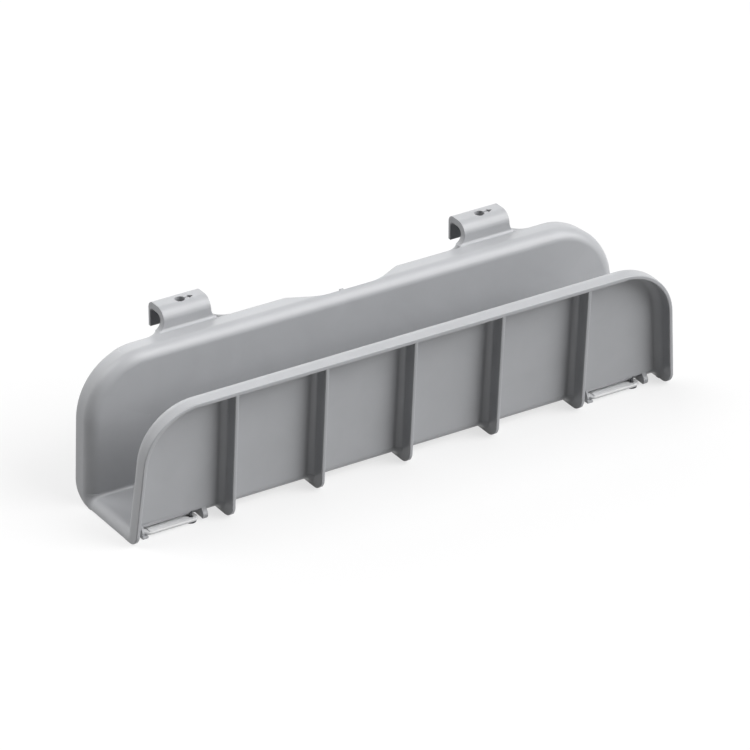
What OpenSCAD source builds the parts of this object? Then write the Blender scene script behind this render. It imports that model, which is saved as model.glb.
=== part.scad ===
// Mop base: a moulded channel tray with two saddle hooks behind its back wall.
// One grey moulding carries the trough, the flared rim round both walls and both
// ends, five outer ribs, the hooks and the bays of two white swivel levers, which
// turn on screws under the front edge.
// Millimetres, +Z up, -Y the front. The origin is the middle of the trough floor,
// on the plane of the rib feet.

/* [Trough] */
// Overall length of the tray along X
tray_len = 450; // [400:1:600]
// Clear width of the trough floor between the two walls
floor_w = 50.6; // [40:0.1:80]
// Height of the floor's upper face above the rib feet
floor_z = 7.5; // [7:0.1:12]
// Height of the outer edge of the rim above the rib feet
rim_h = 105; // [95:1:160]
// Thickness of the floor, the walls and the rim
wall_t = 3.1; // [2.5:0.1:3.5]
// Radius of the inner corner between floor and wall
inner_r = 3; // [2:0.1:6]
// Outward lean of the front wall, degrees
front_lean = 4.3; // [1:0.1:8]
// Outward lean of the back wall, degrees
back_lean = 5.2; // [1:0.1:8]
// Inward lean of the two ends, degrees
end_lean = 4.9; // [1:0.1:8]

/* [Rim] */
// Radius by which the inner faces flare into the rim
flare_r = 9; // [7:0.1:11]
// Width of the rim from the inner face of the front wall
front_rim_w = 16.3; // [13:0.1:22]
// Width of the rim from the inner face of the back wall
back_rim_w = 19.4; // [17:0.1:24]
// Radius of the two upper corners of the front wall
front_corner_r = 45; // [30:0.5:60]
// Radius of the two upper corners of the back wall
back_corner_r = 49; // [30:0.5:60]

/* [Notch in the back rim] */
// Half width of the straight bottom of the notch
notch_flat = 18; // [10:0.5:24]
// How far the notch cuts into the rim from its rear edge
notch_d = 12.5; // [8:0.1:14]
// Radius of the curves at the two ends of the straight bottom
notch_r = 26; // [15:1:40]
// Slope of the notch flanks, degrees
notch_slope = 30; // [20:1:45]
// Radius where a flank runs out into the rear edge
notch_lip_r = 12; // [6:0.5:20]
// How far the middle rib stays below the rim in the notch
notch_rib_drop = 5.3; // [4.5:0.1:12]

/* [Ribs] */
// Distance of the outermost ribs from the nearer end of the tray
rib_end = 78.8; // [74:0.1:90]
// Thickness of a rib
rib_t = 3; // [2:0.1:4]
// Radius of the fillets between a rib and the trough
rib_fillet = 5; // [2:0.5:7]
// Radius of the front lower corner of ribs and rim
front_foot_r = 11; // [8:0.5:14]
// Radius of the back lower corner of ribs and rim
back_foot_r = 18.5; // [10:0.5:24]

/* [Hooks] */
// Distance between the centres of the two hooks
hook_pitch = 250.8; // [180:0.1:280]
// Width of a hook along X
hook_w = 38.4; // [30:0.1:50]
// Front face of a hook's neck behind the middle of the floor
hook_y = 55; // [54.5:0.1:60]
// Overall depth of a hook from neck to lip
hook_d = 22; // [18:0.1:32]
// Thickness of the neck
neck_t = 5; // [4:0.1:6]
// Thickness of the rear lip
lip_t = 2.4; // [2:0.1:4]
// Height of a hook above the rim
hook_h = 15.8; // [14:0.1:26]
// Thickness of the hook's crown
crown_t = 5.2; // [4:0.1:6]
// How far the lip hangs below the edge of the rim
lip_drop = 5; // [2:0.1:12]
// Outer radius over the neck
hook_front_r = 9; // [7:0.1:10]
// Outer radius over the lip
hook_back_r = 6; // [5:0.1:7]
// Height over which the neck widens towards the rim
neck_flare_h = 7.5; // [6:0.5:12]
// How far the neck widens on each side
neck_flare_w = 4.5; // [2:0.1:9]
// How far the rim's rear edge swells out beyond the neck on each side
swell_w = 12; // [6:0.5:16]
// Radius of the fillet between the front of the neck and the rim
neck_fillet = 3; // [1:0.1:3.5]
// Radius of the keyhole's round opening
key_r = 3.75; // [3:0.05:4.5]
// Distance from the round opening to the three-sided opening
key_len = 8.2; // [7.5:0.1:11]
// Width of the keyhole's slot
key_slot = 1.6; // [1:0.1:2.4]
// Corner radius of the three-sided opening
key_end_r = 2.7; // [2:0.1:3.2]

/* [Swivel levers] */
// Distance of each bay's centre from the nearer end of the tray
bay_end = 39.4; // [37:0.1:42]
// Distance from a lever's free end to its pivot axis
lever_len = 39.2; // [33:0.1:40]
// Width of a lever
lever_w = 10.4; // [9:0.1:10.8]
// Thickness of a lever
lever_t = 2.3; // [1.8:0.1:2.5]
// Radius of the rounded edges of a lever
lever_edge_r = 0.9; // [0.5:0.1:0.9]
// Clearance between lever and tray, above and at the free end
lever_gap = 0.3; // [0.2:0.05:0.5]
// Radius of the screw's shank
shank_r = 1.4; // [1.2:0.05:1.6]
// Length of the screw from under its head
screw_len = 9; // [7:0.1:12]
// Radius of the screw's head
head_r = 4.2; // [3:0.1:4.6]
// Height of the screw's head
head_h = 1.5; // [1.2:0.1:1.5]
// Radial clearance of a lever on its screw
pivot_clear = 0.06; // [0.03:0.01:0.1]
// Radial undersize of the screw's pilot hole in the tray
pilot_under = 0.1; // [0.05:0.01:0.2]
// Width of the post beside a lever's pivot
post_w = 3.8; // [3:0.1:5]
// How far the posts stand out in front of the pivot axis
post_front = 4.6; // [4:0.1:6]
// Width of the post beside a lever's free end
stop_w = 1.8; // [1.4:0.1:2.4]
// Length of the ledge under a lever's free end
ledge_len = 2.4; // [1.5:0.1:4]

/* [Hidden] */
$fn = 64;
half = tray_len / 2;
// the inner ribs stand evenly between the outermost ones
rib_pitch = (half - rib_end) / 2;
// the bends' axes lie along X
axis_z = floor_z + inner_r;
front_axis_y = -(floor_w / 2 - inner_r * (1 - sin(front_lean)) / cos(front_lean));
back_axis_y = floor_w / 2 - inner_r * (1 - sin(back_lean)) / cos(back_lean);
under_z = floor_z - wall_t;
// the rim's front and back edges at the height of the feet
front_y0 = -(floor_w / 2 + front_rim_w / cos(front_lean) - floor_z * tan(front_lean));
back_y0 = floor_w / 2 + back_rim_w / cos(back_lean) - floor_z * tan(back_lean);
// the rim's rear edge at its top
back_y1 = back_y0 + rim_h * tan(back_lean);
// a rib's fillets end inside the flare
fillet_end = flare_r - sqrt(pow(flare_r, 2) - pow(flare_r - wall_t + 0.5, 2));
hook_z = rim_h + hook_h;
hook_seat_w = hook_d - neck_t - lip_t;
hook_in_f = hook_front_r - 4;
hook_in_b = hook_back_r - lip_t;
neck_flare_r = (pow(neck_flare_h, 2) + pow(neck_flare_w, 2)) / (2 * neck_flare_w);
// levers lie flat under the floor, their screws in the trough's front corner
lever_z1 = under_z - lever_gap;
lever_z0 = lever_z1 - lever_t;
pivot_y = -(floor_w / 2 + wall_t / 2 + 0.15);
pivot_dx = 12.4;
head_z1 = lever_z0 - 0.2;
post_dx = 20.3;
post_y = pivot_y - post_front;
boss_r = shank_r + 2;
boss_z0 = 8.8;
// small seats by which pieces of the moulding run into each other
step = 0.02;
seat = 0.1;

// Height of the rim along a wall's own slope, from the end of the bend
function wall_top(lean, rim_w) =
    (rim_h - axis_z + (inner_r + rim_w) * sin(lean)) / cos(lean);

// Outer face of the front wall at height z
function front_out(z) =
    -(floor_w / 2 + (z - floor_z) * tan(front_lean) + wall_t / cos(front_lean));

// Lays a profile drawn in y and z along x, centred
module along_x(len) {
    translate([-len / 2, 0, 0]) rotate([90, 0, 90]) linear_extrude(len) children();
}

// Concave fillet in a corner whose faces are the x and y axes; it dips below both
// faces by d, so that it meets them at an angle
module fillet2d(r, d = 0.05) {
    difference() {
        translate([-0.5, -0.5]) square(r + 0.5 - d);
        translate([r - d, r - d]) circle(r);
    }
}

// Section across the rim: x inwards from the rim's face, y outwards from the
// wall's inner face; the sheet reaches in to x = depth. All faces lie i inside the
// nominal ones, so that a piece ends inside the next one
module rim_section(w, depth, i) {
    r = flare_r;
    intersection() {
        translate([r, r]) difference() {
            circle(r - i);
            circle(r - wall_t + i);
        }
        square(r);
    }
    translate([r, i]) square([depth - r, wall_t - 2 * i]);
    translate([i, r]) square([wall_t - 2 * i, w - i - r]);
}

// One wall with its rim: y is the outward normal, zero on the wall's inner face
module wall(lean, rim_w, corner) {
    top = wall_top(lean, rim_w);
    cz = top - corner;
    cx = half - tan(end_lean) * cz - corner / cos(end_lean);
    run = cz / cos(end_lean) + corner * tan(end_lean);
    // middle, as high as the wall, its ends inside the corners
    translate([cx + 0.5, 0, top]) rotate([0, -90, 0]) linear_extrude(2 * cx + 1)
        mirror([1, 0]) rim_section(rim_w, top + step, 2 * step);
    for (s = [0, 1]) mirror([s, 0, 0]) {
        intersection() {
            translate([cx, 0, cz]) rotate([0, -end_lean, 0]) {
                // upper corner
                rotate([90, 0, 0]) rotate_extrude(angle = 90 - end_lean, $fn = 96)
                    translate([corner, 0]) rotate(180)
                        rim_section(rim_w, corner - 0.6, step);
                // leaning end
                translate([corner, 0, -run - 10]) linear_extrude(run + 10)
                    mirror([1, 0]) rim_section(rim_w, corner + 1, step);
            }
            translate([cx - 20, -1, -seat]) cube([half, rim_w + 2, top + 10]);
        }
        // sheet between end and middle
        translate([0, wall_t - 3 * step, 0]) rotate([90, 0, 0])
            linear_extrude(wall_t - 6 * step)
                polygon([
                    [cx - 6, -seat], [cx + cz * tan(end_lean) + 6, -seat],
                    [cx + 4, cz + 3], [cx - 6, cz + 3]
                ]);
    }
}

// Section along the tray of floor and rim: x along the tray, y outwards
module floor_section(w) {
    for (s = [0, 1]) mirror([s, 0]) translate([-half, 0]) rim_section(w, half + 1, 0);
}

// Section along the tray of the fillets beside the ribs
module fillet_section(d = 0.05) {
    for (i = [-2:2], s = [0, 1]) translate([i * rib_pitch, wall_t]) mirror([s, 0])
        translate([rib_t / 2, 0]) fillet2d(rib_fillet, d);
}

// Carries a section round the bend between the floor and a wall
module bend(lean) {
    rotate([0, 90, 0]) rotate_extrude(angle = 90 - lean, $fn = 96)
        translate([inner_r, 0]) mirror([1, 0]) rotate(90) children();
}

// Carries a section across the floor
module across_floor() {
    translate([0, back_axis_y, floor_z]) rotate([90, 0, 0])
        linear_extrude(back_axis_y - front_axis_y) mirror([0, 1]) children();
}

module front_bend() {
    translate([0, front_axis_y, axis_z]) mirror([0, 1, 0]) bend(front_lean) children();
}

module back_bend() {
    translate([0, back_axis_y, axis_z]) bend(back_lean) children();
}

// Wall frames: origin at the end of the bend on the inner face, z up the slope
module front_place() {
    translate([0, front_axis_y, axis_z]) mirror([0, 1, 0]) rotate([-front_lean, 0, 0])
        translate([0, inner_r, 0]) children();
}

module back_place() {
    translate([0, back_axis_y, axis_z]) rotate([-back_lean, 0, 0])
        translate([0, inner_r, 0]) children();
}

// Side profile that rounds the lower corners of ribs and rim; above them it is open
// by d in front and behind
module feet(z_top, d) {
    rf = front_foot_r;
    rb = back_foot_r;
    cf = front_y0 + rf * (1 / cos(front_lean) - tan(front_lean)) - min(d, 0.1);
    cb = back_y0 - rb * (1 / cos(back_lean) - tan(back_lean)) + min(d, 0.1);
    translate([cf, 0]) square([cb - cf, rb]);
    translate([cf, rf]) circle(rf);
    translate([cb, rb]) circle(rb, $fn = 96);
    polygon([
        [front_y0 - rf * tan(front_lean) - d, rf], [0, rf],
        [0, rb], [back_y0 + rb * tan(back_lean) + d, rb],
        [back_y0 + z_top * tan(back_lean) + d, z_top],
        [front_y0 - z_top * tan(front_lean) - d, z_top]
    ]);
}

// What a rib leaves free at the top of a wall: x outwards from the inner face, y up
// the slope. The rib ends in the middle of the rim's thickness
module above_rim(top) {
    g = wall_t / 2;
    difference() {
        translate([-20, top - flare_r]) square([flare_r + 20, flare_r + 20]);
        translate([flare_r, top - flare_r]) circle(flare_r - g);
    }
    translate([flare_r - 1, top - g]) square([40, 20]);
}

// Side profile of a rib: just inside the rim's edges, and seated in the sheet
module rib_profile() {
    z1 = rim_h + 10;
    g = wall_t / 2;
    yf = -floor_w / 2 - g / cos(front_lean);
    yb = floor_w / 2 + g / cos(back_lean);
    difference() {
        intersection() {
            feet(rim_h, 0.2);
            polygon([
                [front_y0 + 0.1, 0], [back_y0 - 0.1, 0],
                [back_y1 - 0.1, rim_h],
                [front_y0 + 0.1 - rim_h * tan(front_lean), rim_h]
            ]);
        }
        polygon([
            [front_axis_y, floor_z - g], [back_axis_y, floor_z - g],
            [back_axis_y + (inner_r + g) * cos(back_lean), axis_z],
            [yb + (z1 - floor_z) * tan(back_lean), z1],
            [yf - (z1 - floor_z) * tan(front_lean), z1],
            [front_axis_y - (inner_r + g) * cos(front_lean), axis_z]
        ]);
        translate([back_axis_y, axis_z]) rotate(-back_lean) translate([inner_r, 0])
            above_rim(wall_top(back_lean, back_rim_w));
        translate([front_axis_y, axis_z]) mirror([1, 0]) rotate(-front_lean)
            translate([inner_r, 0]) above_rim(wall_top(front_lean, front_rim_w));
    }
}

// Trough, walls and rim
module shell() {
    intersection() {
        union() {
            across_floor() floor_section(flare_r + 0.5);
            front_bend() floor_section(front_rim_w);
            back_bend() floor_section(back_rim_w);
            front_place() wall(front_lean, front_rim_w, front_corner_r);
            back_place() wall(back_lean, back_rim_w, back_corner_r);
        }
        along_x(tray_len + 2) feet(rim_h + 30, 5);
    }
}

// Five ribs that run down the front wall, under the floor and up the back wall
module ribs() {
    for (i = [-2:2]) translate([i * rib_pitch, 0, 0]) along_x(rib_t) rib_profile();
    // fillets follow the outer face all the way round
    front_place() translate([0, 0, -seat])
        linear_extrude(wall_top(front_lean, front_rim_w) - fillet_end) fillet_section(0.08);
    back_place() translate([0, 0, -seat])
        linear_extrude(wall_top(back_lean, back_rim_w) - fillet_end) fillet_section(0.08);
    intersection() {
        union() {
            across_floor() fillet_section();
            front_bend() fillet_section();
            back_bend() fillet_section();
        }
        along_x(tray_len) feet(rim_h, 5);
    }
}

// Plan of the notch in the rear edge of the rim
module notch_plan() {
    y0 = back_y1 - notch_d;
    x1 = notch_flat + notch_r * sin(notch_slope);
    y1 = y0 + notch_r * (1 - cos(notch_slope));
    y2 = back_y1 + 0.3;
    yc = y2 - notch_lip_r * (1 - cos(notch_slope));
    x2 = x1 + (yc - y1) / tan(notch_slope);
    x3 = x2 + notch_lip_r * sin(notch_slope);
    for (s = [0, 1]) mirror([s, 0]) {
        translate([-1, y0]) square([notch_flat + 1, 40]);
        intersection() {
            translate([notch_flat, y0 + notch_r]) circle(notch_r, $fn = 96);
            translate([notch_flat - 0.1, y0]) square([x1 - notch_flat + 0.1, 30]);
        }
        difference() {
            polygon([[x1, y1], [x2, yc], [x3, y2], [x3, y2 + 20], [x1, y2 + 20]]);
            translate([x3, y2 - notch_lip_r]) circle(notch_lip_r);
        }
        translate([x1 - 1, y1 + notch_r * 0.5]) square([1.1, 20]);
    }
}

// Side profile of a hook: neck, crown and hanging lip
module hook_profile() {
    z0 = rim_h - wall_t;
    difference() {
        union() {
            translate([hook_y, z0]) square([hook_d, hook_z - z0 - hook_front_r]);
            translate([hook_y + hook_front_r, hook_z - hook_front_r])
                square([hook_d - hook_front_r, hook_front_r - hook_back_r]);
            translate([hook_y + hook_front_r, z0])
                square([hook_d - hook_front_r - hook_back_r, hook_z - z0]);
            translate([hook_y + hook_front_r, hook_z - hook_front_r]) circle(hook_front_r);
            translate([hook_y + hook_d - hook_back_r, hook_z - hook_back_r])
                circle(hook_back_r);
        }
        // the seat that sits over the rail
        translate([hook_y + neck_t, z0 - 1])
            square([hook_seat_w, hook_z - crown_t - hook_in_f - z0 + 1]);
        translate([hook_y + neck_t + hook_in_f, z0 - 1])
            square([hook_seat_w - hook_in_f, hook_z - crown_t - hook_in_b - z0 + 1]);
        translate([hook_y + neck_t + hook_in_f, z0 - 1])
            square([hook_seat_w - hook_in_f - hook_in_b, hook_z - crown_t - z0 + 1]);
        translate([hook_y + neck_t + hook_in_f, hook_z - crown_t - hook_in_f])
            circle(hook_in_f);
        translate([hook_y + hook_d - lip_t - hook_in_b, hook_z - crown_t - hook_in_b])
            circle(hook_in_b);
    }
    translate([hook_y + hook_d - lip_t, rim_h - lip_drop])
        square([lip_t, hook_z - hook_back_r - rim_h + lip_drop]);
}

// One saddle hook with its keyhole
module hook() {
    base_w = hook_w / 2 + neck_flare_w;
    base_d = hook_y + neck_t - back_y1;
    swell_r = (pow(swell_w, 2) + pow(base_d, 2)) / (2 * base_d);
    difference() {
        union() {
            along_x(hook_w) hook_profile();
            // the neck widens towards the rim
            translate([0, hook_y + neck_t, 0]) rotate([90, 0, 0]) linear_extrude(neck_t)
                for (s = [0, 1]) mirror([s, 0]) translate([hook_w / 2, rim_h]) difference() {
                    translate([-0.5, -1]) square([neck_flare_w + 0.5, neck_flare_h + 1]);
                    translate([neck_flare_r, neck_flare_h]) circle(neck_flare_r);
                }
            // fillet along the front of the neck
            intersection() {
                along_x(2 * base_w + 2) translate([hook_y, rim_h - 0.1]) mirror([1, 0])
                    fillet2d(neck_fillet);
                translate([0, hook_y + 1, 0]) rotate([90, 0, 0])
                    linear_extrude(neck_fillet + 2) difference() {
                        translate([-base_w, rim_h - 2]) square([2 * base_w, neck_fillet + 4]);
                        for (s = [0, 1]) mirror([s, 0])
                            translate([hook_w / 2 + neck_flare_r, rim_h + neck_flare_h])
                                circle(neck_flare_r);
                    }
            }
            // the rim's rear edge swells out to meet the neck
            translate([0, 0, rim_h - wall_t - 0.1]) linear_extrude(wall_t) {
                translate([-base_w, back_y1 - 4]) square([2 * base_w, base_d + 4]);
                for (s = [0, 1]) mirror([s, 0]) translate([base_w, back_y1]) difference() {
                    translate([-0.5, -0.5]) square([swell_w + 0.5, base_d + 0.5]);
                    translate([swell_w, swell_r - 0.05]) circle(swell_r, $fn = 128);
                }
            }
        }
        // keyhole: a round opening, a slot and a small three-sided opening
        translate([0, hook_y + hook_d / 2, hook_z - crown_t - 2]) {
            cylinder(r = key_r, h = crown_t + 3);
            translate([0, -key_slot / 2, 0]) cube([key_len, key_slot, crown_t + 3]);
            translate([key_len, 0, 0]) cylinder(r = key_end_r, h = crown_t + 3, $fn = 3);
        }
    }
}

// Side profile of a post: it stands on the plane of the feet and leans into the wall
module post_profile() {
    z1 = axis_z - 1;
    r = 4;
    y1 = front_out(z1);
    polygon([
        [post_y + r, 0], [post_y + 11, 0], [post_y + 12, 1], [post_y + 12, under_z + 1],
        [y1 + 4, under_z + 1], [y1 + 1.5, z1 + 1], [y1 + 1, z1 + 1], [post_y, z1 - 4],
        [post_y, r]
    ]);
    translate([post_y + r, r]) circle(r);
}

// Front view of a post, w wide, with a round foot
module post_front_view(w) {
    translate([0, w / 2]) circle(w / 2);
    translate([-w / 2, w / 2]) square([w, axis_z]);
}

// Posts, ledge and screw boss of one lever bay, centred on the bay
module bay() {
    tip_x = pivot_dx - lever_len - lever_gap;
    // post beside the free end, with a ledge that runs under the lever
    translate([tip_x - stop_w / 2, 0, 0]) along_x(stop_w) post_profile();
    translate([tip_x - stop_w, post_y - 0.7, 0])
        cube([stop_w + ledge_len + lever_gap, 6, head_z1 - 0.1]);
    // post beside the pivot
    intersection() {
        translate([post_dx + post_w / 2, 0, 0]) along_x(post_w + 2) post_profile();
        translate([post_dx + post_w / 2, 0, 0]) rotate([90, 0, 0])
            linear_extrude(floor_w) post_front_view(post_w);
    }
    // round pad for the screw inside the trough's front corner
    intersection() {
        translate([pivot_dx, pivot_y, boss_z0])
            cylinder(r = boss_r, h = head_z1 + screw_len + 2 - boss_z0);
        along_x(tray_len) polygon([
            [0, 0], [0, rim_h], [front_out(rim_h) + 0.2, rim_h], [front_out(0) + 0.2, 0]
        ]);
    }
}

module tray() {
    color([0.62, 0.63, 0.64]) difference() {
        union() {
            difference() {
                union() {
                    shell();
                    ribs();
                }
                translate([0, 0, rim_h - notch_rib_drop]) linear_extrude(30) notch_plan();
            }
            for (s = [-1, 1]) translate([s * hook_pitch / 2, 0, 0]) hook();
            for (s = [-1, 1]) translate([s * (half - bay_end), 0, 0]) bay();
        }
        for (s = [-1, 1]) translate([s * (half - bay_end) + pivot_dx, pivot_y, -1])
            cylinder(r = shank_r - pilot_under, h = head_z1 + screw_len + 1.5);
    }
}

// Half section of a lever across its width, x outwards from the middle
module lever_half() {
    w = lever_w / 2;
    r = lever_edge_r;
    square([w - r, lever_t]);
    translate([0, r]) square([w, lever_t - 2 * r]);
    for (z = [r, lever_t - r]) intersection() {
        translate([w - r, z]) circle(r, $fn = 32);
        square([w, lever_t]);
    }
}

// A lever with its pivot at the origin and its free end towards -x
module lever() {
    difference() {
        union() {
            rotate_extrude() lever_half();
            rotate([90, 0, -90]) linear_extrude(lever_len - lever_w / 2)
                for (s = [0, 1]) mirror([s, 0]) lever_half();
            translate([-(lever_len - lever_w / 2), 0, 0]) rotate_extrude() lever_half();
        }
        translate([0, 0, -1]) cylinder(r = shank_r + pivot_clear, h = lever_t + 2);
    }
}

module lever_at(x) {
    color([0.93, 0.93, 0.91]) translate([x + pivot_dx, pivot_y, lever_z0]) lever();
}

// Pan head screw with a cross recess, its axis on z
module screw_at(x) {
    color([0.32, 0.32, 0.34]) translate([x + pivot_dx, pivot_y, 0]) difference() {
        union() {
            translate([0, 0, head_z1 - head_h]) rotate_extrude() intersection() {
                square([head_r, head_h]);
                translate([0, 3 * head_r]) circle(3 * head_r, $fn = 128);
            }
            translate([0, 0, head_z1 - 0.1]) cylinder(r = shank_r, h = screw_len + 0.1);
        }
        for (a = [0, 90]) rotate([0, 0, a])
            translate([-1.8, -0.4, head_z1 - head_h - 0.1]) cube([3.6, 0.8, 0.8]);
    }
}

tray();
lever_at(-(half - bay_end));  // left_lever
lever_at(half - bay_end);  // right_lever
screw_at(-(half - bay_end));  // left_screw
screw_at(half - bay_end);  // right_screw
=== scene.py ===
import math

import bmesh
import bpy
from mathutils import Matrix, Vector


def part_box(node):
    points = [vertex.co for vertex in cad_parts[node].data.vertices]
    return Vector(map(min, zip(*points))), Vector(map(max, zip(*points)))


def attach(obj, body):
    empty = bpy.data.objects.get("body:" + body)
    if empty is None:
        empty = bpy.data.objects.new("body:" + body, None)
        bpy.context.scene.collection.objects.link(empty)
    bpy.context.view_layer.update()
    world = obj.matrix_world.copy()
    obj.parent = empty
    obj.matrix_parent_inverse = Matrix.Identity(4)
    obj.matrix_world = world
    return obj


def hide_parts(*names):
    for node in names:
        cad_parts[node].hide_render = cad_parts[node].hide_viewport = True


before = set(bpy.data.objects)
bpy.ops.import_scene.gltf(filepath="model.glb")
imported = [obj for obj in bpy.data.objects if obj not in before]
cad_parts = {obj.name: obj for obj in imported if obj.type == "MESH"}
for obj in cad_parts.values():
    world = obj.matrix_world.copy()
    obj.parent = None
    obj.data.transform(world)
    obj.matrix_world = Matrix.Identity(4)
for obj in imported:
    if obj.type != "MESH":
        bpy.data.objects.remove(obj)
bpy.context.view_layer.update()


# Tray
# One injection moulding in grey polypropylene: a trough with a flared rim, outer
# ribs, two hooks and two lever bays, in the satin grain of a spark-finished tool.
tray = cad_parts["tray"]


def add(tree, kind, feeds=None, **settings):
    # one node; each feed is a socket to link or a value to set
    node = tree.nodes.new(kind)
    for key, value in settings.items():
        setattr(node, key, value)
    for key, value in (feeds or {}).items():
        if isinstance(value, bpy.types.NodeSocket):
            tree.links.new(value, node.inputs[key])
        else:
            node.inputs[key].default_value = value
    return node


def maths(tree, operation, *values):
    return add(tree, "ShaderNodeMath", dict(enumerate(values)), operation=operation).outputs[0]


def spread(tree, value, start, end, to_start=0.0, to_end=1.0):
    # what runs from start to end is spread from to_start to to_end
    feeds = {"Value": value, "From Min": start, "From Max": end, "To Min": to_start, "To Max": to_end}
    return add(tree, "ShaderNodeMapRange", feeds).outputs[0]


def new_group(name, kind, inputs, outputs):
    # a node group with named sockets: (name, socket type, value)
    tree = bpy.data.node_groups.new(name, kind)
    for label, socket, value in inputs:
        made = tree.interface.new_socket(name=label, in_out="INPUT", socket_type=socket)
        if value is not None:
            made.default_value = value
    for label, socket in outputs:
        tree.interface.new_socket(name=label, in_out="OUTPUT", socket_type=socket)
    return tree, tree.nodes.new("NodeGroupInput").outputs, tree.nodes.new("NodeGroupOutput").inputs


# The skin that a spark-eroded tool leaves on plastic: a fine grain, faint flow
# clouding and a slow waviness where thick and thin places shrank differently.
grain, given, out = new_group("moulded grain", "ShaderNodeTree", [
    ("Position", "NodeSocketVector", None),
    ("Grain Size", "NodeSocketFloat", 0.0006),
    ("Grain Depth", "NodeSocketFloat", 0.5),
    ("Cloud Size", "NodeSocketFloat", 0.03),
    ("Wave Size", "NodeSocketFloat", 0.05),
    ("Wave Depth", "NodeSocketFloat", 0.5),
], [
    ("Clouding", "NodeSocketFloat"),
    ("Gloss", "NodeSocketFloat"),
    ("Height", "NodeSocketFloat"),
])
# a pattern's scale is how many of its grains, clouds or waves go into a metre
per_grain, per_cloud, per_wave = (
    maths(grain, "DIVIDE", 1.0, given[size]) for size in ("Grain Size", "Cloud Size", "Wave Size")
)
fine = add(grain, "ShaderNodeTexNoise", {
    "Vector": given["Position"], "Scale": per_grain, "Detail": 3.0, "Roughness": 0.6,
}).outputs[0]
pits = add(grain, "ShaderNodeTexVoronoi", {
    "Vector": given["Position"], "Scale": per_grain, "Randomness": 1.0,
}).outputs["Distance"]
clouds = add(grain, "ShaderNodeTexNoise", {
    "Vector": given["Position"], "Scale": per_cloud, "Detail": 4.0, "Roughness": 0.55, "Distortion": 0.8,
}).outputs[0]
waves = add(grain, "ShaderNodeTexNoise", {
    "Vector": given["Position"], "Scale": per_wave, "Detail": 1.0,
}).outputs[0]
pitted = maths(grain, "MULTIPLY", fine, pits)
skin = maths(grain, "MULTIPLY", pitted, given["Grain Depth"])
wavy = maths(grain, "MULTIPLY", waves, given["Wave Depth"])
grain.links.new(maths(grain, "ADD", skin, wavy), out["Height"])
grain.links.new(spread(grain, clouds, 0.3, 0.7), out["Clouding"])
grain.links.new(maths(grain, "MULTIPLY", pitted, clouds), out["Gloss"])

# Broken edges: the shading normal is rounded over a small radius, and the places
# where it turns are given as a mask, for a paler colour there that is a painted highlight.
edges, given, out = new_group("broken edge", "ShaderNodeTree", [
    ("Radius", "NodeSocketFloat", 0.0005),
], [
    ("Normal", "NodeSocketVector"),
    ("Painted Highlight", "NodeSocketFloat"),
])
rounded = add(edges, "ShaderNodeBevel", {"Radius": given["Radius"]}, samples=6).outputs[0]
flat = add(edges, "ShaderNodeNewGeometry").outputs["Normal"]
turned = add(edges, "ShaderNodeVectorMath", {0: rounded, 1: flat}, operation="DOT_PRODUCT").outputs["Value"]
edges.links.new(rounded, out["Normal"])
edges.links.new(spread(edges, turned, 0.995, 0.8), out["Painted Highlight"])


def tinted(tree, mask, first, second):
    # the Mix node keeps a colour's two ends in inputs 6 and 7, and its result in output 2
    return add(tree, "ShaderNodeMix", {0: mask, 6: first, 7: second}, data_type="RGBA").outputs[2]


def plastic(name, dark, light, edge_highlight, rough, rough_range, grain_depth, edge_radius):
    # satin plastic from the two groups; the colour runs from dark to light over the
    # clouding, and towards a paler painted highlight along broken edges
    made = bpy.data.materials.new(name)
    made.use_nodes = True
    tree = made.node_tree
    shader = tree.nodes["Principled BSDF"]
    place = add(tree, "ShaderNodeTexCoord").outputs["Object"]
    skin = add(tree, "ShaderNodeGroup", {"Position": place, "Grain Depth": grain_depth}, node_tree=grain)
    edge = add(tree, "ShaderNodeGroup", {"Radius": edge_radius}, node_tree=edges)
    body = tinted(tree, skin.outputs["Clouding"], dark, light)
    # along broken edges the colour turns paler: a painted highlight, not wear
    tree.links.new(tinted(tree, edge.outputs["Painted Highlight"], body, edge_highlight), shader.inputs["Base Color"])
    deepest = 0.4
    gloss = spread(tree, skin.outputs["Gloss"], 0.0, deepest, rough - rough_range, rough + rough_range)
    tree.links.new(gloss, shader.inputs["Roughness"])
    bump = add(tree, "ShaderNodeBump", {
        "Height": skin.outputs["Height"], "Normal": edge.outputs["Normal"],
        "Strength": 0.35, "Distance": 0.0002,
    })
    tree.links.new(bump.outputs[0], shader.inputs["Normal"])
    shader.inputs["Specular IOR Level"].default_value = 0.4
    return made


# the paler edge colour is a painted highlight along the broken edges
grey = plastic(
    "grey polypropylene",
    dark=(0.345, 0.351, 0.364, 1), light=(0.366, 0.372, 0.386, 1), edge_highlight=(0.40, 0.406, 0.420, 1),
    rough=0.34, rough_range=0.05, grain_depth=0.5, edge_radius=0.0005,
)

# a merged copy of the moulding, with the outer edges rounded as the tool's are; its
# finest steps, of 0.02 mm, are closed first, and flat faces are made one
finest_step, shortest, still_flat = 0.00003, 0.00001, math.radians(0.3)
shape = bmesh.new()
shape.from_mesh(tray.data)
bmesh.ops.remove_doubles(shape, verts=shape.verts, dist=finest_step)
bmesh.ops.dissolve_degenerate(shape, dist=shortest, edges=shape.edges)
bmesh.ops.dissolve_limit(shape, angle_limit=still_flat, verts=shape.verts, edges=shape.edges)


def inside(place, low, high):
    return all(a < p < b for a, p, b in zip(low, place, high))


# the flat front of each hook is made one face, up to where its arc begins
far = 0.3
hook_y, hook_play, front_low, front_high = 0.055, 0.0001, 0.1115, 0.1128
front_box = (-far, hook_y - hook_play, front_low), (far, hook_y + hook_play, front_high)
front = [vert for vert in shape.verts if inside(vert.co, *front_box)]
seams = [edge for edge in shape.edges if all(vert in front for vert in edge.verts)]
bmesh.ops.dissolve_limit(shape, angle_limit=math.radians(4), verts=front, edges=seams)

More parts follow.
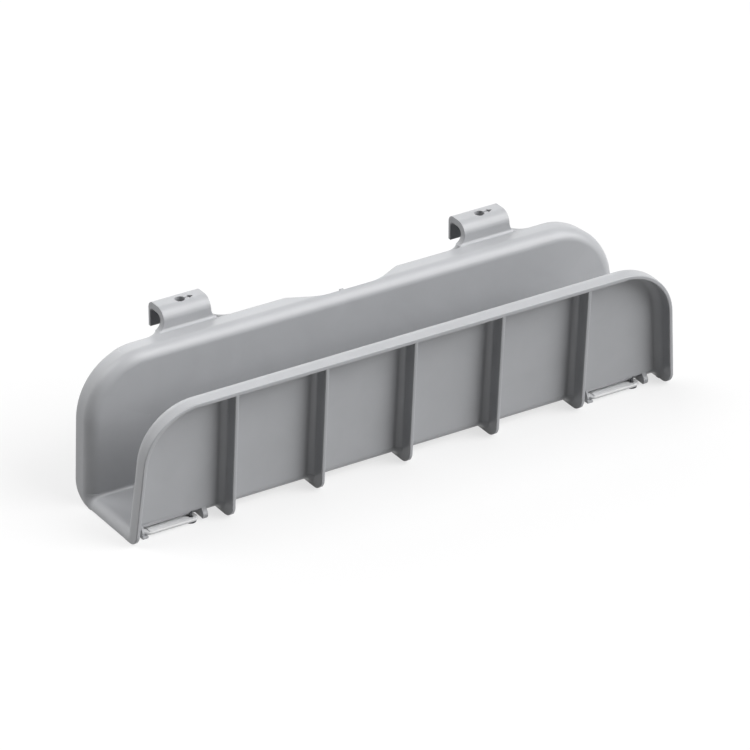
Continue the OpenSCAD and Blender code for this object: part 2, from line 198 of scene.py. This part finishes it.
# places with finer shapes stay sharp: the undersides of the ribs, the hooks with the
# top of the back rim, the rib end in the notch, and the bay round each lever, which
# reaches this far past the lever's low and high corners
rib_foot, rib_reach = 0.003, 0.205
back_rim_y, back_rim_z = 0.040, 0.1022
notch_half, notch_z = 0.012, 0.060
kept_sharp = [
    ((-rib_reach, -far, -far), (rib_reach, far, rib_foot)),
    ((-far, back_rim_y, back_rim_z), (far, far, far)),
    ((-notch_half, 0, notch_z), (notch_half, far, far)),
]
bay_low, bay_high = Vector((0.0041, 0.008, 0.003)), Vector((0.012, 0.007, 0.016))
for name in ("left_lever", "right_lever"):
    low, high = (Vector(corner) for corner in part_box(name))
    kept_sharp.append((low - bay_low, high + bay_high))


def to_round(edge):
    # an outer corner of about a right angle, with no sliver beside it and not kept sharp
    least, most = math.radians(50), math.radians(125)
    least_length, least_width = 0.00005, 0.0004
    if not edge.is_manifold or not least < edge.calc_face_angle_signed() < most:
        return False
    length = edge.calc_length()
    if length <= least_length or min(face.calc_area() for face in edge.link_faces) <= least_width * length:
        return False
    return not any(inside(vert.co, *box) for vert in edge.verts for box in kept_sharp)


rounding = 0.0008
bmesh.ops.bevel(
    shape, geom=[edge for edge in shape.edges if to_round(edge)], affect="EDGES",
    offset=rounding, offset_type="OFFSET", segments=3, profile=0.5, clamp_overlap=False, loop_slide=True,
)


def put(name, data):
    # a new object in the scene
    made = bpy.data.objects.new(name, data)
    bpy.context.scene.collection.objects.link(made)
    return made


def settled(worked, name):
    # a plain piece, as the worked object's modifiers leave it; the worked one goes
    mesh = bpy.data.meshes.new_from_object(worked.evaluated_get(bpy.context.evaluated_depsgraph_get()))
    mesh.name = name
    bpy.data.objects.remove(worked)
    return put(name, mesh)


def smooth(mesh):
    # faces shade smoothly into each other, but for real corners
    mesh.shade_smooth()
    mesh.set_sharp_from_angle(angle=math.radians(38))


rounded_mesh = bpy.data.meshes.new("tray_rounded")
shape.to_mesh(rounded_mesh)
shape.free()
smooth(rounded_mesh)
rounded_tray = put("tray.rounded", rounded_mesh)
even = rounded_tray.modifiers.new("even normals", "WEIGHTED_NORMAL")
even.keep_sharp = True
moulding = settled(rounded_tray, "tray_moulding")
moulding.data.materials.clear()
moulding.data.materials.append(grey)
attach(moulding, "tray")
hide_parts("tray")


# Swivel levers
# Two flat bars with round ends, moulded in white nylon, lie under the front edge.
# Each turns on a screw at its right end and swings out from over its ledge.
def geometry_tree(name, inputs):
    geometry = ("Geometry", "NodeSocketGeometry")
    return new_group(name, "GeometryNodeTree", [(*geometry, None), *inputs], [geometry])


lever_tree, given, out = geometry_tree("swivel lever", [
    ("Reach", "NodeSocketFloat", 0.0392),
    ("Width", "NodeSocketFloat", 0.0104),
    ("Thickness", "NodeSocketFloat", 0.0023),
    ("Bore Radius", "NodeSocketFloat", 0.00146),
    ("Material", "NodeSocketMaterial", None),
])


def triple(tree, x=0.0, y=0.0, z=0.0):
    return add(tree, "ShaderNodeCombineXYZ", {0: x, 1: y, 2: z}).outputs[0]


def moved(tree, part, **place):
    return add(tree, "GeometryNodeTransform", {
        "Geometry": part.outputs[0], "Translation": triple(tree, **place),
    })


def joined(tree, *parts):
    # all the parts go into the one socket
    joint = add(tree, "GeometryNodeJoinGeometry")
    for part in parts:
        tree.links.new(part.outputs[0], joint.inputs[0])
    return joint


def hand_out(tree, given, out, part):
    # the part at each point, as a real mesh in its material
    placed = add(tree, "GeometryNodeInstanceOnPoints", {
        "Points": given["Geometry"], "Instance": part.outputs[0],
    })
    real = add(tree, "GeometryNodeRealizeInstances", {"Geometry": placed.outputs[0]})
    done = add(tree, "GeometryNodeSetMaterial", {"Geometry": real.outputs[0], "Material": given["Material"]})
    tree.links.new(done.outputs[0], out["Geometry"])


# the outline with its bore is filled and pulled up to the lever's thickness
half_width = maths(lever_tree, "DIVIDE", given["Width"], 2.0)
length = maths(lever_tree, "ADD", given["Reach"], half_width)
middle = maths(lever_tree, "MULTIPLY", maths(lever_tree, "SUBTRACT", given["Reach"], half_width), -0.5)
bar = add(lever_tree, "GeometryNodeCurvePrimitiveQuadrilateral", {"Width": length, "Height": given["Width"]})
ends = add(lever_tree, "GeometryNodeFilletCurve", {
    "Curve": bar.outputs[0], "Count": 20, "Radius": half_width, "Limit Radius": True,
}, mode="POLY")
bore = add(lever_tree, "GeometryNodeCurvePrimitiveCircle", {"Resolution": 32, "Radius": given["Bore Radius"]})
outline = joined(lever_tree, moved(lever_tree, ends, x=middle), bore)
face = add(lever_tree, "GeometryNodeFillCurve", {"Curve": outline.outputs[0]}, mode="NGONS")
lifted = add(lever_tree, "GeometryNodeExtrudeMesh", {
    "Mesh": face.outputs[0], "Offset": triple(lever_tree, z=1.0), "Offset Scale": given["Thickness"],
    "Individual": False,
})
under = add(lever_tree, "GeometryNodeFlipFaces", {"Mesh": face.outputs[0]})
closed = joined(lever_tree, lifted, under)
welded = add(lever_tree, "GeometryNodeMergeByDistance", {"Geometry": closed.outputs[0], "Distance": 0.00001})
hand_out(lever_tree, given, out, welded)


def grown(name, points, tree, bevel, angle, sizes):
    # a plain piece from the tree, run on these points; edges sharper than the angle
    # are broken by the bevel
    seed = bpy.data.meshes.new(name + ".points")
    seed.from_pydata(points, [], [])
    raw = put(name + ".seed", seed)
    nodes = raw.modifiers.new("grown", "NODES")
    nodes.node_group = tree
    for item in tree.interface.items_tree:
        if item.item_type == "SOCKET" and item.in_out == "INPUT" and item.name in sizes:
            nodes[item.identifier] = sizes[item.name]
    broken = raw.modifiers.new("edges", "BEVEL")
    broken.width = bevel
    broken.segments = 3
    broken.limit_method = "ANGLE"
    broken.angle_limit = math.radians(angle)
    piece = settled(raw, name)
    smooth(piece.data)
    return piece


# the paler edge colour is a painted highlight along the broken edges
white = plastic(
    "white nylon",
    dark=(0.54, 0.545, 0.55, 1), light=(0.60, 0.605, 0.61, 1), edge_highlight=(0.66, 0.665, 0.67, 1),
    rough=0.36, rough_range=0.04, grain_depth=0.4, edge_radius=0.0003,
)
for name in ("left_lever", "right_lever"):
    low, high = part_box(name)
    width = high[1] - low[1]
    pivot = (high[0] - width / 2, (low[1] + high[1]) / 2, low[2])
    lever = grown(name + "_bar", [pivot], lever_tree, bevel=0.0008, angle=50, sizes={
        "Reach": pivot[0] - low[0], "Width": width, "Thickness": high[2] - low[2], "Material": white,
    })
    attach(lever, name)
    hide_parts(name)


# Pivot screws
# Two pan head screws in dark zinc-plated steel are driven up through the levers
# into the tray. Their heads have a cross recess and fine turning marks.
head_height = 0.0015
screw_tree, given, out = geometry_tree("pan head screw", [
    ("Head Radius", "NodeSocketFloat", 0.0042),
    ("Head Height", "NodeSocketFloat", head_height),
    ("Slot Length", "NodeSocketFloat", 0.0036),
    ("Slot Width", "NodeSocketFloat", 0.0008),
    ("Slot Depth", "NodeSocketFloat", 0.0008),
    ("Shank Radius", "NodeSocketFloat", 0.0014),
    ("Length", "NodeSocketFloat", 0.009),
    ("Pitch", "NodeSocketFloat", 0.0011),
    ("Core Share", "NodeSocketFloat", 0.86),
    ("Crest Share", "NodeSocketFloat", 0.13),
    ("Threaded Share", "NodeSocketFloat", 0.9),
    ("Thread Start", "NodeSocketFloat", 0.0003),
    ("Material", "NodeSocketMaterial", None),
])
disc = add(screw_tree, "GeometryNodeMeshCylinder", {
    "Vertices": 64, "Side Segments": 1, "Radius": given["Head Radius"], "Depth": given["Head Height"],
}, fill_type="NGON")
head = moved(screw_tree, disc, z=maths(screw_tree, "DIVIDE", given["Head Height"], 2.0))
cut = add(screw_tree, "GeometryNodeMeshBoolean", {0: head.outputs[0]}, operation="DIFFERENCE", solver="EXACT")
# each blade of the cross goes into the cutters' socket by itself
blade_size = triple(
    screw_tree, x=given["Slot Length"], y=given["Slot Width"],
    z=maths(screw_tree, "MULTIPLY", given["Slot Depth"], 2.0),
)
for turn in (0.0, math.pi / 2):
    blade = add(screw_tree, "GeometryNodeMeshCube", {"Size": blade_size})
    turned = add(screw_tree, "GeometryNodeTransform", {
        "Geometry": blade.outputs[0], "Rotation": (0.0, 0.0, turn),
    })
    screw_tree.links.new(turned.outputs[0], cut.inputs[1])
core = maths(screw_tree, "MULTIPLY", given["Shank Radius"], given["Core Share"])
rod = add(screw_tree, "GeometryNodeMeshCylinder", {
    "Vertices": 24, "Side Segments": 1, "Radius": core, "Depth": given["Length"],
}, fill_type="NGON")
half_length = maths(screw_tree, "DIVIDE", given["Length"], 2.0)
shank = moved(screw_tree, rod, z=maths(screw_tree, "ADD", given["Head Height"], half_length))
run = maths(screw_tree, "MULTIPLY", given["Length"], given["Threaded Share"])
coil = add(screw_tree, "GeometryNodeCurveSpiral", {
    "Resolution": 20, "Rotations": maths(screw_tree, "DIVIDE", run, given["Pitch"]),
    "Start Radius": core, "End Radius": core, "Height": run,
})
crest = add(screw_tree, "GeometryNodeCurvePrimitiveCircle", {
    "Resolution": 4, "Radius": maths(screw_tree, "MULTIPLY", given["Shank Radius"], given["Crest Share"]),
})
ridge = add(screw_tree, "GeometryNodeCurveToMesh", {
    "Curve": coil.outputs[0], "Profile Curve": crest.outputs[0], "Fill Caps": True,
})
thread = moved(screw_tree, ridge, z=maths(screw_tree, "ADD", given["Head Height"], given["Thread Start"]))
whole = joined(screw_tree, cut, shank, thread)
# the distance from the screw's axis goes with each point, for the turning marks
here = add(screw_tree, "ShaderNodeSeparateXYZ", {0: add(screw_tree, "GeometryNodeInputPosition").outputs[0]})
across = triple(screw_tree, x=here.outputs[0], y=here.outputs[1])
from_axis = add(screw_tree, "ShaderNodeVectorMath", {0: across}, operation="LENGTH").outputs["Value"]
marked = add(screw_tree, "GeometryNodeStoreNamedAttribute", {
    "Geometry": whole.outputs[0], "Name": "from_axis", "Value": from_axis,
}, data_type="FLOAT", domain="POINT")
hand_out(screw_tree, given, out, marked)

# plated steel with a slightly uneven bloom; the turning marks lie 0.15 mm apart, and
# their sine runs through this many radians in a metre
mark_rate = 42000.0
zinc = bpy.data.materials.new("dark zinc")
zinc.use_nodes = True
tree = zinc.node_tree
shader = tree.nodes["Principled BSDF"]
distance = add(tree, "ShaderNodeAttribute", attribute_name="from_axis").outputs["Fac"]
rings = maths(tree, "SINE", maths(tree, "MULTIPLY", distance, mark_rate))
place = add(tree, "ShaderNodeTexCoord").outputs["Object"]
bloom = add(tree, "ShaderNodeTexNoise", {"Vector": place, "Scale": 900.0, "Detail": 4.0}).outputs[0]
tone = add(tree, "ShaderNodeValToRGB", {0: bloom})
dark_zinc, pale_zinc = (0.055, 0.057, 0.062, 1), (0.11, 0.112, 0.118, 1)
for stop, position, colour in zip(tone.color_ramp.elements, (0.35, 0.7), (dark_zinc, pale_zinc)):
    stop.position = position
    stop.color = colour
marks = add(tree, "ShaderNodeBump", {"Height": rings, "Strength": 0.2, "Distance": 0.00003})
tree.links.new(tone.outputs[0], shader.inputs["Base Color"])
tree.links.new(spread(tree, bloom, 0.0, 1.0, 0.35, 0.55), shader.inputs["Roughness"])
tree.links.new(marks.outputs[0], shader.inputs["Normal"])
shader.inputs["Metallic"].default_value = 0.9

boxes = [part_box(name) for name in ("left_screw", "right_screw")]
feet = [((low[0] + high[0]) / 2, (low[1] + high[1]) / 2, low[2]) for low, high in boxes]
low, high = boxes[0]
screws = grown("pivot_screws", feet, screw_tree, bevel=0.00035, angle=40, sizes={
    "Head Radius": (high[0] - low[0]) / 2, "Length": high[2] - low[2] - head_height, "Material": zinc,
})
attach(screws, "tray")
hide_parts("left_screw", "right_screw")


# Camera
# A long lens from the front left, above; the angle and the distance were solved
# from the outline of the rim.
azimuth, elevation, roll = math.radians(-31.796), math.radians(28.508), math.radians(-0.096)
distance = 4.4327
target = Vector((0.004357, 0.0141, 0.04619))


def outwards(azimuth, elevation):
    # the direction towards a place this far round from the front, and this high
    level = math.cos(elevation)
    return Vector((math.sin(azimuth) * level, -math.cos(azimuth) * level, math.sin(elevation)))


back = outwards(azimuth, elevation)
right = Vector((math.cos(azimuth), math.sin(azimuth), 0))
up = back.cross(right)
side = right * math.cos(roll) + up * math.sin(roll)
top = up * math.cos(roll) - right * math.sin(roll)
eye = target + back * distance
camera = put("camera", bpy.data.cameras.new("camera"))
camera.matrix_world = Matrix((
    (side.x, top.x, back.x, eye.x),
    (side.y, top.y, back.y, eye.y),
    (side.z, top.z, back.z, eye.z),
    (0, 0, 0, 1),
))
camera.data.sensor_width = 36
camera.data.lens = 297.96
camera.data.clip_end = 50
bpy.context.scene.camera = camera


# Floor and backdrop
# A white sweep. What looks at it sees white with the object's soft shadow; the
# light that it throws back up at the object is that of a mid grey board.
wide = 4
floor = put("floor", bpy.data.meshes.new("floor"))
floor.data.from_pydata(
    [(-wide, -wide, 0), (wide, -wide, 0), (wide, wide, 0), (-wide, wide, 0)], [], [(0, 1, 2, 3)]
)


def looked_at(tree):
    # 1 for rays from the camera and in reflections, 0 for light on its way
    rays = add(tree, "ShaderNodeLightPath").outputs
    either = maths(tree, "MAXIMUM", rays["Is Camera Ray"], rays["Is Glossy Ray"])
    return maths(tree, "MAXIMUM", either, rays["Is Transmission Ray"])


def board_grey(tree, level):
    return add(tree, "ShaderNodeBsdfDiffuse", {"Color": (level, level, level, 1)})


def one_or_other(tree, share, first, second):
    return add(tree, "ShaderNodeMixShader", {0: share, 1: first.outputs[0], 2: second.outputs[0]})


shadow_share, shadow_white, bounce_grey = 0.3, 0.72, 0.27
board = bpy.data.materials.new("white sweep")
board.use_nodes = True
tree = board.node_tree
tree.nodes.remove(tree.nodes["Principled BSDF"])
glow = add(tree, "ShaderNodeEmission", {"Color": (1, 1, 1, 1), "Strength": 1.0})
seen = one_or_other(tree, shadow_share, glow, board_grey(tree, shadow_white))
above = one_or_other(tree, looked_at(tree), board_grey(tree, bounce_grey), seen)
# from below the sweep can be looked through, so that the underside is seen too
beneath = add(tree, "ShaderNodeNewGeometry").outputs["Backfacing"]
sweep = one_or_other(tree, beneath, above, add(tree, "ShaderNodeBsdfTransparent"))
tree.links.new(sweep.outputs[0], tree.nodes["Material Output"].inputs["Surface"])
floor.data.materials.append(board)

studio = bpy.data.worlds.new("studio")
studio.use_nodes = True
air = studio.node_tree.nodes["Background"]
air.inputs["Color"].default_value = (1, 1, 1, 1)
studio.node_tree.links.new(looked_at(studio.node_tree), air.inputs["Strength"])
bpy.context.scene.world = studio


# Lamps
# Broad soft boxes, so far off that each lights the whole object alike: a key and a
# low fill from the front right, two high overhead, and three from behind.
for name, azimuth, elevation, level, size in (
    ("key", 45, 38, 0.92, 46),
    ("low fill", 45, 12, 0.33, 46),
    ("overhead", -120, 64, 0.45, 36),
    ("overhead right", 60, 64, 0.23, 36),
    ("rear left", -135, 38, 0.17, 40),
    ("rear left low", -135, 12, 0.12, 40),
    ("rear", 175, 24, 0.30, 50),
):
    lamp = put(name, bpy.data.lights.new(name, "SUN"))
    lamp.data.energy = math.pi * level
    lamp.data.angle = math.radians(size)
    toward = outwards(math.radians(azimuth), math.radians(elevation))
    lamp.rotation_euler = toward.to_track_quat("Z", "Y").to_euler()

bpy.context.scene.view_settings.view_transform = "Standard"
